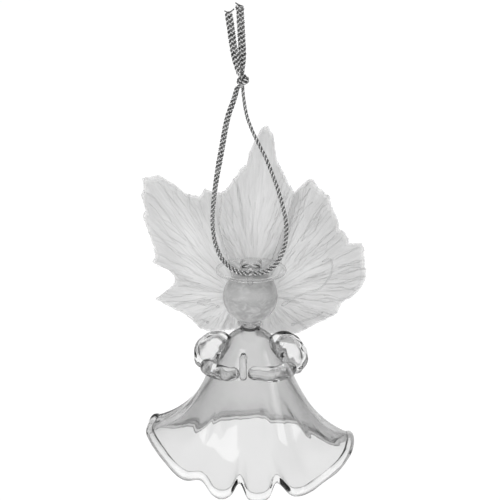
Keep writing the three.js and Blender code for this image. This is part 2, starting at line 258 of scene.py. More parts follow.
def refined(node, name, levels):
    """The CAD node's own surface as quads, subdivided smooth."""
    work = bmesh.new()
    work.from_mesh(frame["nodes"][node].data)
    bmesh.ops.remove_doubles(work, verts=work.verts, dist=1e-6)
    bmesh.ops.join_triangles(work, faces=work.faces, angle_face_threshold=math.pi,
                             angle_shape_threshold=math.pi)
    mesh = bpy.data.meshes.new(name)
    work.to_mesh(mesh)
    work.free()
    piece = bpy.data.objects.new(name, mesh)
    bpy.context.scene.collection.objects.link(piece)
    surface = piece.modifiers.new("smooth", "SUBSURF")
    surface.levels = surface.render_levels = levels
    done = bpy.data.meshes.new_from_object(piece.evaluated_get(bpy.context.evaluated_depsgraph_get()))
    piece.modifiers.clear()
    piece.data = done
    done.polygons.foreach_set("use_smooth", [True] * len(done.polygons))
    return piece


# ---- material helpers -----------------------------------------------------------------------
class Look:
    """A material in the making: its node tree, with short calls for the nodes used here."""

    def __init__(self, name):
        self.material = bpy.data.materials.new(name)
        self.material.use_nodes = True
        self.nodes = self.material.node_tree.nodes
        self.links = self.material.node_tree.links
        self.shader = self.nodes["Principled BSDF"]

    def set(self, **values):
        """Constants on the shader's sockets; a name's underscores stand for spaces."""
        for name, value in values.items():
            self.shader.inputs[name.replace("_", " ")].default_value = value

    def feed(self, name, output):
        self.links.new(output, self.shader.inputs[name])

    def object_place(self):
        return self.nodes.new("ShaderNodeTexCoord").outputs["Object"]

    def stretched(self, place, scale):
        node = self.nodes.new("ShaderNodeMapping")
        node.inputs["Scale"].default_value = scale
        self.links.new(place, node.inputs["Vector"])
        return node.outputs["Vector"]

    def mottle(self, place, scale, detail, **settings):
        node = self.nodes.new("ShaderNodeTexNoise")
        node.inputs["Scale"].default_value = scale
        node.inputs["Detail"].default_value = detail
        for name, value in settings.items():
            node.inputs[name].default_value = value
        self.links.new(place, node.inputs["Vector"])
        return node.outputs["Fac"]

    def ramp(self, factor, stops):
        node = ramp_node(self.nodes, stops)
        self.links.new(factor, node.inputs["Fac"])
        return node.outputs["Color"]

    def part(self, vector, axis):
        node = self.nodes.new("ShaderNodeSeparateXYZ")
        self.links.new(vector, node.inputs["Vector"])
        return node.outputs[axis]

    def multiplied(self, first, second):
        return multiply_node(self.nodes, self.links, first, second)

    def bumped(self, height, strength, distance):
        node = self.nodes.new("ShaderNodeBump")
        node.inputs["Strength"].default_value = strength
        node.inputs["Distance"].default_value = distance
        self.links.new(height, node.inputs["Height"])
        self.feed("Normal", node.outputs["Normal"])


def ramp_node(nodes, stops):
    """A colour ramp of grey stops, each (position, value)."""
    ramp = nodes.new("ShaderNodeValToRGB")
    while len(ramp.color_ramp.elements) > 1:
        ramp.color_ramp.elements.remove(ramp.color_ramp.elements[-1])
    ramp.color_ramp.elements[0].position = stops[0][0]
    for i, (place, value) in enumerate(stops):
        stop = ramp.color_ramp.elements[0] if i == 0 else ramp.color_ramp.elements.new(place)
        stop.color = (value, value, value, 1)
    return ramp


# A colour mix node's sockets
MIX_A = 6
MIX_B = 7
MIX_RESULT = 2


def multiply_node(nodes, links, first, second):
    node = nodes.new("ShaderNodeMix")
    node.data_type = "RGBA"
    node.blend_type = "MULTIPLY"
    node.inputs["Factor"].default_value = 1.0
    links.new(first, node.inputs[MIX_A])
    links.new(second, node.inputs[MIX_B])
    return node.outputs[MIX_RESULT]


# ---- materials ------------------------------------------------------------------------------
def glass_material(name, stops, roughness, striae):
    """Clear glass with painted shade in its base colour: a grey for the room seen through it, darker near
    edges as the angle between its skin and the eye grows.
    """
    look = Look(name)
    facing = look.nodes.new("ShaderNodeLayerWeight")
    facing.inputs["Blend"].default_value = 0.45
    look.feed("Base Color", look.ramp(facing.outputs["Facing"], stops))
    streaks = look.mottle(look.stretched(look.object_place(), (1, 1, 0.18)), 160, 3)
    look.bumped(streaks, striae, 0.0006)
    look.set(Transmission_Weight=1.0, Roughness=roughness, IOR=GLASS_IOR)
    return look.material


def head_material():
    """Grey veiled glass: its mottle is the glass's own veil, its grey is painted shade for the room seen
    through the ball, and a pale band above the middle of the ball is a painted highlight.
    """
    look = Look("head_glass_look")
    place = look.object_place()
    veil = look.mottle(look.stretched(place, (0.9, 1, 1.3)), 430, 5, Distortion=1.2, Roughness=0.6)
    # the grey: the glass's own veil in its mottle, painted shade in its overall darkness
    tone = look.ramp(veil, [(0.34, 0.46), (0.5, 0.54), (0.62, 0.68)])
    height = look.nodes.new("ShaderNodeMapRange")
    height.inputs["From Min"].default_value = at_v(HEAD_CENTRE).z - HEAD_RADIUS * MM
    height.inputs["From Max"].default_value = at_v(HEAD_CENTRE).z + HEAD_RADIUS * MM
    look.links.new(look.part(place, "Z"), height.inputs["Value"])
    # painted highlight: a pale band across the ball above its middle, mixed over the grey
    highlight_band = look.ramp(height.outputs["Result"],
                     [(0.0, 0.0), (0.52, 0.05), (0.62, 0.55), (0.72, 0.5), (0.8, 0.1), (1.0, 0.25)])
    painted_highlight = look.nodes.new("ShaderNodeMix")
    painted_highlight.data_type = "RGBA"
    painted_highlight.inputs[MIX_B].default_value = (0.82, 0.82, 0.82, 1)
    look.links.new(highlight_band, painted_highlight.inputs["Factor"])
    look.links.new(tone, painted_highlight.inputs[MIX_A])
    look.feed("Base Color", painted_highlight.outputs[MIX_RESULT])
    look.bumped(veil, 0.35, 0.0004)
    look.set(Transmission_Weight=0.3, Roughness=0.16, IOR=GLASS_IOR)
    return look.material


def fibre_material():
    """White spun glass: fine bright fibres over greyer depths, a little see-through, with painted light that
    keeps it brightest at its root and greyer towards its edge.

    The "fan" layer holds the way round the mat's root as U, and from root to edge as V.
    """
    look = Look("spun_glass_look")
    fan_node = look.nodes.new("ShaderNodeUVMap")
    fan_node.uv_map = "fan"
    fan = fan_node.outputs["UV"]
    outward = look.part(fan, "Y")
    fine = look.mottle(look.stretched(fan, (210, 5, 1)), 1, 6, Roughness=0.65, Distortion=0.8)
    cloud = look.mottle(look.stretched(fan, (26, 3, 1)), 1, 3)
    fibres = look.multiplied(look.ramp(fine, [(0.32, 0.86), (0.5, 0.92), (0.66, 0.99)]),
                             look.ramp(cloud, [(0.3, 0.91), (0.65, 1.0)]))
    # painted light: full brightness at the mat's root, where the head and bodice shade it, greying towards
    # the edge
    painted_root_light = look.ramp(outward, [(0.0, 1.0), (0.45, 1.0), (0.9, 0.86)])
    look.feed("Base Color", look.multiplied(fibres, painted_root_light))
    look.bumped(fine, 0.35, 0.0003)
    look.set(Roughness=0.6, Sheen_Weight=0.3, Transmission_Weight=0.12)
    wisps = look.nodes.new("ShaderNodeMath")
    wisps.operation = "MULTIPLY_ADD"
    wisps.inputs[1].default_value = 0.07
    look.links.new(fine, wisps.inputs[0])
    look.links.new(outward, wisps.inputs[2])
    reach = look.nodes.new("ShaderNodeMath")
    reach.operation = "SUBTRACT"
    reach.inputs[1].default_value = 0.045
    look.links.new(wisps.outputs["Value"], reach.inputs[0])
    look.feed("Alpha", look.ramp(reach.outputs["Value"],
                                 [(0.0, 0.97), (0.93, 0.96), (0.98, 0.4), (1.0, 0.12)]))
    return look.material


def yarn_material(name, dark, bright, metal, roughness):
    """Metallic yarn with painted glints: small bright marks along it in its base colour."""
    look = Look(name)
    # painted glints: noise marks from the yarn's dark tone up to its bright one
    painted_glint = look.mottle(look.object_place(), 1900, 2)
    look.feed("Base Color", look.ramp(painted_glint, [(0.38, dark), (0.56, (dark + bright) / 2), (0.66, bright)]))
    look.set(Metallic=metal, Roughness=roughness)
    look.bumped(painted_glint, 0.4, 0.0001)
    return look.material


# Each glass look's grey and its darker edges are painted shade, from the facing ramp in glass_material.
CLEAR = glass_material(
    "clear_glass_look",
    [(0.0, 0.76), (0.35, 0.72), (0.55, 0.5), (0.72, 0.16), (0.86, 0.08), (1.0, 0.5)], 0.0, 0.06)
ROD = glass_material(
    "glass_rod_look", [(0.0, 0.9), (0.3, 0.82), (0.5, 0.5), (0.75, 0.16), (1.0, 0.03)], 0.0, 0.2)
PUFF = glass_material(
    "puffed_glass_look", [(0.0, 0.91), (0.4, 0.86), (0.65, 0.55), (0.85, 0.16), (1.0, 0.03)], 0.0, 0.15)
FINE = glass_material("fine_glass_look", [(0.0, 0.97), (0.6, 0.9), (1.0, 0.45)], 0.02, 0.05)
CEMENT = glass_material("cement_look", [(0.0, 0.97), (0.7, 0.93), (1.0, 0.75)], 0.25, 0.3)
HEAD = head_material()
FIBRE = fibre_material()
YARN_DARK = yarn_material("yarn_dark_look", 0.02, 0.34, 0.4, 0.4)
# The silver yarns: their near-white base is partly their own silver and partly painted glint.
YARN_SILVER_GLINT = yarn_material("yarn_silver_glint_look", 0.8, 0.99, 0.3, 0.25)


def dress(piece, body, slot, *materials, replaces=()):
    """Gives a piece its materials and body, and hides the CAD nodes it stands for. The slot argument is not
    used.
    """
    for material in materials:
        piece.data.materials.append(material)
    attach(piece, body)
    if replaces:
        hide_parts(*replaces)
    return piece


# ---- ribbon ---------------------------------------------------------------------------------
# Routes are (across, up) in the plane of the loop, the same points as in the CAD part.
LOOP_ROUTE = [
    (-3.7, 117.3), (-4.9, 113.0), (-6.8, 107.0), (-8.5, 97.5), (-10.3, 86.5), (-11.2, 76.5),
    (-10.7, 69.6), (-9.1, 64.5), (-6.8, 61.2), (-3.6, 59.0), (0.1, 58.45), (3.9, 58.9), (7.2, 60.8),
    (9.5, 64.6), (10.8, 69.6), (10.7, 75.0), (9.3, 81.6), (7.2, 88.4), (4.5, 95.4), (1.5, 101.6),
    (-0.8, 107.6), (-1.8, 113.0), (-2.2, 117.0),
]
LEFT_TAIL_ROUTE = [
    (-3.3, 121.3), (-3.8, 124.0), (-4.5, 127.5), (-5.1, 131.0), (-5.6, 135.0), (-6.1, 138.5),
    (-6.6, 141.4),
]
RIGHT_TAIL_ROUTE = [
    (-2.4, 121.3), (-2.3, 124.5), (-2.3, 128.0), (-2.5, 132.0), (-2.7, 136.0), (-2.9, 140.0),
    (-3.0, 143.2),
]
YARNS = 6
YARN_RADIUS = 0.21
YARN_SIDES = 5
BRAID_PITCH = 2.8                         # a yarn goes across the ribbon and back in this length
YARN_STEP = 0.26
TAIL_WIDTH = RIBBON_WIDTH * 1.28          # a cut end loosens and spreads
WRAP_WIDTH = 1.5
WRAP_TURNS = 2.3


def add_yarn(line, points, faces):
    """Adds a round yarn along a line to the lists, and says how many faces it took."""
    rings = []
    for centre, (_, side, up) in zip(line, frames_along(line, (0, 1, 0))):
        rings.append([
            at_v(centre + (side * math.cos(2 * math.pi * k / YARN_SIDES)
                           + up * math.sin(2 * math.pi * k / YARN_SIDES)) * YARN_RADIUS)
            for k in range(YARN_SIDES)
        ])
    yarn_points, yarn_faces = skin(rings)
    base = len(points)
    points.extend(yarn_points)
    faces.extend(tuple(base + v for v in f) for f in yarn_faces)
    return len(yarn_faces)


def add_braid(strands, route, turn_at, width=RIBBON_WIDTH, pinch=lambda t: 1.0, fray=0.0, seed=1,
              start_side=(0, 1, 0), thickness=0.22):
    """Adds a flat braid along a route to strands = (points, faces, shades).

    turn_at(0..1) is the angle of its face, 0 = its wide way along start_side. It gives back the
    middle line in metres and its length in millimetres.
    """
    points, faces, shades = strands
    _, length = smooth_path(route, 4)
    samples = max(16, int(length / YARN_STEP))
    path, length = smooth_path(route, samples)
    frames = frames_along(path, start_side)
    chance = random.Random(seed)
    for yarn in range(YARNS):
        drift = Vector((chance.uniform(-1, 1), chance.uniform(-0.6, 0.6), chance.uniform(-0.4, 0.7)))
        cut = 1.0 - (0.05 * chance.random() if fray else 0.0)
        line = []
        for i in range(int(samples * cut)):
            t = i / (samples - 1)
            tangent, side, up = frames[i]
            turn = turn_at(t)
            wide = side * math.cos(turn) + up * math.sin(turn)
            thin = tangent.cross(wide)
            phase = (t * length / BRAID_PITCH + yarn / YARNS) % 1.0
            across = 4 * abs(phase - 0.5) - 1.0
            lift = thickness * math.sin(math.pi * YARNS * phase)
            reach = (width / 2 - YARN_RADIUS) * across * pinch(t)
            spread = fray * max(0.0, (t - 0.88) / 0.12) ** 2
            line.append(path[i] + wide * reach * (1 + 0.3 * spread) + thin * lift
                        + drift * (0.75 * spread))
        taken = add_yarn(line, points, faces)
        # every third yarn takes the silver look, whose near-white is partly painted glint
        shades.extend([1 if yarn % 3 == 0 else 0] * taken)
    return [at_v(p) for p in path], length


def braided_piece(name, strands, node):
    points, faces, shades = strands
    piece = mesh_object(name, points, faces)
    piece.data.polygons.foreach_set("material_index", shades)
    return dress(piece, "ribbon", "silver_ribbon", YARN_DARK, YARN_SILVER_GLINT, replaces=[node])


def in_plane(route, depth):
    return [Vector((x, depth, up)) for x, up in route]


def loop_turn(t):
    """The left leg shows its face below the knot; the right one turns edge-on up at the knot."""
    if t < 0.3:
        return math.radians(50 + 32 * math.sin(math.pi * t / 0.3) ** 0.7)
    return math.radians(50 - 22 * max(0.0, (t - 0.75) / 0.25))


def loop_pinch(t):
    """Full width on the left leg, and drawn in from there on."""
    return 1.0 - 0.3 * min(1.0, max(0.0, (t - 0.18) / 0.12))


def add_loop():
    """The loop's piece, its middle line and its length."""
    strands = ([], [], [])
    path, length = add_braid(strands, in_plane(LOOP_ROUTE, LOOP_PLANE), loop_turn, seed=3,
                             pinch=loop_pinch)
    return braided_piece("ribbon_loop_braid", strands, "ribbon_loop"), path, length


def add_tail(word, route, offset, seed):
    strands = ([], [], [])
    add_braid(strands, in_plane(route, LOOP_PLANE + offset), lambda t: math.radians(90), fray=1.0,
              seed=seed, width=TAIL_WIDTH, pinch=lambda t: min(1.0, 0.5 + 2.2 * t))
    return braided_piece(f"ribbon_tail_{word}_braid", strands, f"ribbon_tail_{word}")


def wrap_route():
    """The turns of the knot, drawn tight about the two legs."""
    route = []
    steps = 40
    for k in range(steps + 1):
        t = k / steps
        a = 2 * math.pi * WRAP_TURNS * t + 0.6
        bulge = 1.05 + 0.35 * math.sin(math.pi * t)
        route.append(KNOT_CENTRE + Vector((
            0.25 + bulge * math.cos(a), bulge * math.sin(a), 1.0 - 1.9 * t + 0.35 * math.cos(a))))
    return route


def add_knot():
    """Both legs go through the knot to their tails, and the wrap goes round them."""
    strands = ([], [], [])
    for leg, tail_start, offset in (
        (LOOP_ROUTE[0], LEFT_TAIL_ROUTE[0], -TAIL_OFFSET),
        (LOOP_ROUTE[-1], RIGHT_TAIL_ROUTE[0], TAIL_OFFSET),
    ):
        through = [
            Vector((leg[0], LOOP_PLANE, leg[1] - 0.4)),
            KNOT_CENTRE + Vector((0, offset / 2, 0)),
            Vector((tail_start[0], LOOP_PLANE + offset, tail_start[1] + 0.5)),
        ]
        add_braid(strands, through, lambda t: math.radians(60), pinch=lambda t: 0.55, seed=4)
    add_braid(strands, wrap_route(), lambda t: 0.25 * math.sin(9 * t), width=WRAP_WIDTH, seed=11,
              start_side=(0, 0, 1), thickness=0.26)
    return braided_piece("ribbon_knot_braid", strands, "ribbon_knot")


def add_ribbon():
    loop_piece, loop_path, loop_length = add_loop()
    tails = [add_tail("left", LEFT_TAIL_ROUTE, -TAIL_OFFSET, 5),
             add_tail("right", RIGHT_TAIL_ROUTE, TAIL_OFFSET, 8)]
    knot_piece = add_knot()
    tuple(loop_path[0])
    [tuple(p) for p in loop_path]


# ---- bell -----------------------------------------------------------------------------------
BELL_WALL = 1.3
HEM_BEAD = 1.36
BELL_COLUMNS = 420
LINE_POINTS = 52                          # points down the wall's middle
ROLL_POINTS = 19                          # points round the bead
HEM_SAMPLES = 2400
# azimuth in degrees, share of the hem's radius, height of the hem's middle
HEM_WAVES = [
    (165, 1.0, 6.2), (156, 1.01, 6.6), (143, 1.0, 3.3), (131, 1.01, 0.9), (122, 1.0, 0.7),
    (114, 0.98, 0.8), (106, 0.96, 1.4), (94, 1.0, 0.8), (83, 0.975, 1.5), (76, 0.98, 0.2),
    (70, 0.99, 0.5), (59, 0.985, 1.4), (47, 0.965, -1.2), (29, 0.98, -1.0), (7, 0.985, 4.3),
    (-14, 1.0, 3.4), (-31, 1.0, 1.2), (-46, 0.96, -1.6), (-53, 0.98, -2.4), (-60, 0.995, -2.8),
    (-66, 0.98, -2.2), (-73, 0.89, 1.2), (-79, 0.975, -2.2), (-85, 1.0, -3.2), (-91, 0.98, -2.4),
    (-96.5, 0.89, 1.5), (-101, 0.97, -1.5), (-106, 0.995, -2.7), (-112, 0.98, -1.9),
    (-121, 0.92, 1.2), (-131, 0.98, 1.1), (-144, 1.0, 4.2), (-173, 0.985, 6.9),
]
# radius and height down the middle of the bodice's wall
BODICE = [(1.6, SHOULDERS), (3.4, 38.9), (5.04, 37.9), (7.2, 35.8), (8.92, 32.6), (10.63, 29.2)]
WAIST = (12.4, 25.0)
HIP_PULL = (15.4, 17.5)                   # draws the skirt's curve down before it flares


def hem_points():
    """The rim's radius, azimuth and height, evenly along the closed hem."""
    corners = []
    for azimuth, share, height in HEM_WAVES:
        a = math.radians(azimuth)
        corners.append((HEM_RADIUS * share * math.cos(a), HEM_RADIUS * share * math.sin(a), height))
    rim, _ = smooth_path(corners[-3:] + corners + corners[:4], HEM_SAMPLES)
    half = HEM_SAMPLES // 2
    first = Vector(corners[0])
    start = min(range(half), key=lambda i: (rim[i] - first).length)
    end = min(range(half, HEM_SAMPLES), key=lambda i: (rim[i] - first).length)
    for k in range(BELL_COLUMNS):
        p = rim[round(start + (end - start) * k / BELL_COLUMNS)]
        yield math.hypot(p.x, p.y), math.atan2(p.y, p.x), p.z


def skirt_line(rim_radius, rim_height):
    """The wall's middle from the neck to the rim, x = radius and z = height, evenly spaced."""
    line = list(BODICE)
    p0 = Vector(WAIST)
    p1 = Vector(HIP_PULL)
    p2 = Vector((0.66 * rim_radius, rim_height + 3.8))
    p3 = Vector((rim_radius, rim_height))
    steps = 24
    for k in range(steps + 1):
        u = k / steps
        p = p0 * (1 - u) ** 3 + p1 * 3 * u * (1 - u) ** 2 + p2 * 3 * u * u * (1 - u) + p3 * u ** 3
        line.append((p.x, p.y))
    path, _ = smooth_path([(r, 0, z) for r, z in line], LINE_POINTS)
    return path


def rim_roll(line, bead):
    """The fire-rolled bead at the wall's end, from its outer face round to its inner one."""
    along = (line[-1] - line[-3]).normalized()
    out = Vector((-along.z, 0, along.x))
    centre = line[-1] - along * 0.45 - out * 0.2
    from_outer = math.pi - math.asin((BELL_WALL / 2 + 0.2) / bead)
    to_inner = math.pi - math.asin((BELL_WALL / 2 - 0.2) / bead)
    roll = []
    for k in range(ROLL_POINTS):
        turn = from_outer - (from_outer + to_inner) * k / (ROLL_POINTS - 1)
        roll.append(centre + (along * math.cos(turn) + out * math.sin(turn)) * bead)
    return roll


def bell_section(rim_radius, azimuth, rim_height):
    """One closed section of the wall with its bead: outer face, bead, then inner face."""
    line = skirt_line(rim_radius, rim_height)
    uneven = noise.noise(Vector((math.cos(azimuth) * 5, math.sin(azimuth) * 5, 3)))
    outer = []
    inner = []
    for i, p in enumerate(line[:-2]):
        along = (line[i + 1] - line[max(0, i - 1)]).normalized()
        out = Vector((-along.z, 0, along.x))
        wall = BELL_WALL * (0.7 + 0.3 * min(1.0, i / 12))
        outer.append(p + out * wall / 2)
        inner.append(p - out * wall / 2)
    return outer + rim_roll(line, HEM_BEAD * (1 + 0.12 * uneven)) + inner[::-1]


def add_bell():
    rings = []
    for radius, azimuth, height in hem_points():
        section = bell_section(radius, azimuth, height)
        rings.append([at(p.x * math.cos(azimuth), p.x * math.sin(azimuth), p.z) for p in section])
    count = len(rings[0])
    roll_from = LINE_POINTS - 2
    faces = []
    shades = []
    for c in range(BELL_COLUMNS):
        n = (c + 1) % BELL_COLUMNS
        for i in range(count):
            j = (i + 1) % count
            faces.append((c * count + i, n * count + i, n * count + j, c * count + j))
            shades.append(1 if roll_from <= i < roll_from + ROLL_POINTS else 0)
    bell = mesh_object("bell_glass", [p for ring in rings for p in ring], faces)
    bell.data.polygons.foreach_set("material_index", shades)
    ripple(bell, 9.0, 0.12, (1, 1, 0.35))
    dress(bell, "angel", "clear_glass", CLEAR, ROD, replaces=["bell_skirt"])


# ---- head, neck and crown -------------------------------------------------------------------
def add_head(rows=48, columns=72):
    rings = []
    for r in range(1, rows):
        polar = math.pi * r / rows
        ring = []
        for c in range(columns):
            a = -2 * math.pi * c / columns
            ring.append(at_v(HEAD_CENTRE + HEAD_RADIUS * Vector((
                math.sin(polar) * math.cos(a), math.sin(polar) * math.sin(a), math.cos(polar)))))
        rings.append(ring)
    head = mesh_object("head_glass_ball", *skin(rings))
    ripple(head, 5.0, 0.09)
    dress(head, "angel", "head_glass", HEAD, replaces=["head_ball"])


def add_neck():
    """A stub that widens where it melts into the shoulders and the head."""
    route = [(HEAD_CENTRE.x, 0, SHOULDERS + up) for up in (0.2, 1.7, 3.3)]
    neck = rod("neck_glass", route, lambda t: 2.1 + 1.1 * abs(2 * t - 1) ** 2.5,
               steps=24, start_side=(1, 0, 0), ends=(False, False))
    dress(neck, "angel", "clear_glass", CEMENT, replaces=["neck"])


def add_halo():
    halo = refined("halo_ring", "halo_glass", 2)
    ripple(halo, 6.0, 0.05)
    dress(halo, "angel", "clear_glass", FINE, replaces=["halo_ring"])


def add_eye(columns=64, sides=20):
    """The closed glass ring on the crown, in the fore-and-aft plane."""
    points = []
    faces = []
    for c in range(columns):
        a = 2 * math.pi * c / columns
        out = Vector((0, math.cos(a), math.sin(a)))
        thick = EYE_ROD * (1 + 0.1 * math.cos(a + 2.4))
        for s in range(sides):
            b = 2 * math.pi * s / sides
            points.append(at_v(EYE_CENTRE + out * (EYE_RADIUS + thick * math.cos(b))
                               + Vector((thick * math.sin(b), 0, 0))))
    for c in range(columns):
        for s in range(sides):
            d = (c + 1) % columns
            n = (s + 1) % sides
            faces.append((c * sides + s, d * sides + s, d * sides + n, c * sides + n))
    eye = mesh_object("hanging_eye_glass", points, faces)
    dress(eye, "angel", "clear_glass", ROD, replaces=["hanging_eye"])


def add_bridge():
    """The flat strap from the crown back to the halo."""
    route = [(0.3, 0.2, 58.35), (0.3, 2.6, 58.75), (0.3, 6.0, 58.7), (0.3, 9.0, 58.6)]
    bridge = rod("halo_bridge_glass", route, lambda t: 0.62, sides=24, steps=40, start_side=(1, 0, 0),
                 flat=5.2)
    dress(bridge, "angel", "clear_glass", FINE, replaces=["halo_bridge"])


# ---- arms and candle ------------------------------------------------------------------------
def arm_points(side):
    """From the shoulder round to the hand, for side -1 or 1."""
    hand = CANDLE_SIDE + side * (CANDLE_RADIUS + 0.35)
    return [
        (side * 0.3 * ARM_RING, 0.03 * ARM_RING, ARM_HEIGHT + 4.4),
        (side * 0.58 * ARM_RING, 0.02 * ARM_RING, ARM_HEIGHT + 4.6),
        (side * 0.81 * ARM_RING, -0.1 * ARM_RING, ARM_HEIGHT + 3.2),
        (side * 0.885 * ARM_RING, -0.4 * ARM_RING, ARM_HEIGHT + 1.2),
        (side * 0.75 * ARM_RING, -0.72 * ARM_RING, ARM_HEIGHT + 0.1),
        (side * 0.44 * ARM_RING, -0.93 * ARM_RING, ARM_HEIGHT),
        (hand, -ARM_RING, ARM_HEIGHT + 0.8),
    ]


def part_of(points, start, end):
    path, _ = smooth_path(points, 101)
    return path[round(start * 100):round(end * 100) + 1:5] + [path[round(end * 100)]]


def sleeve_swell(t):
    return math.sin(math.pi * min(1, 0.2 + 0.78 * t))


def add_sleeve(word, arm):
    """The puffed upper arm, with an air pocket inside."""
    sleeve = rod(f"sleeve_{word}_glass", part_of(arm, 0.04, 0.55),
                 lambda t: 2.6 + 1.9 * sleeve_swell(t) ** 0.8,
                 sides=42, steps=80, gather=0.03, twist=2.2)
    pocket = rod("pocket", part_of(arm, 0.12, 0.47),
                 lambda t: 1.6 + 1.3 * sleeve_swell(t), sides=42, steps=60)
    hollowed(sleeve, pocket)
    ripple(sleeve, 2.6, 0.2)
    dress(sleeve, "angel", "clear_glass", PUFF, replaces=[f"sleeve_{word}"])


def add_forearm(word, arm):
    forearm = rod(f"forearm_{word}_glass", part_of(arm, 0.5, 1.0), lambda t: 2.55 - 0.45 * t,
                  sides=32, steps=80, gather=0.012, gathers=3, twist=3.0)
    ripple(forearm, 2.2, 0.22)
    dress(forearm, "angel", "clear_glass", PUFF, replaces=[f"forearm_{word}"])


def add_candle():
    """An upright rod between the hands, drawn thinner at its top."""
    route = [(CANDLE_SIDE, -ARM_RING, 28.5), (CANDLE_SIDE - 0.05, -ARM_RING, 33.0),
             (CANDLE_SIDE, -ARM_RING, 37.4)]
    candle = rod("candle_glass", route, lambda t: CANDLE_RADIUS * (1 - 0.55 * max(0, (t - 0.82) / 0.18)),
                 start_side=(1, 0, 0), steps=60)
    dress(candle, "angel", "clear_glass", PUFF, replaces=["candle_rod"])


# ---- wings ----------------------------------------------------------------------------------
WING_RAYS = 300
WING_ROWS = 26
WING_HALF = 0.42                          # half the mat's thickness
RAY_START = 90.0                          # rays for the outline come in from this far out
STRANDS = 520
STRAND_KNOTS = 7
STRAND_SIDES = 3


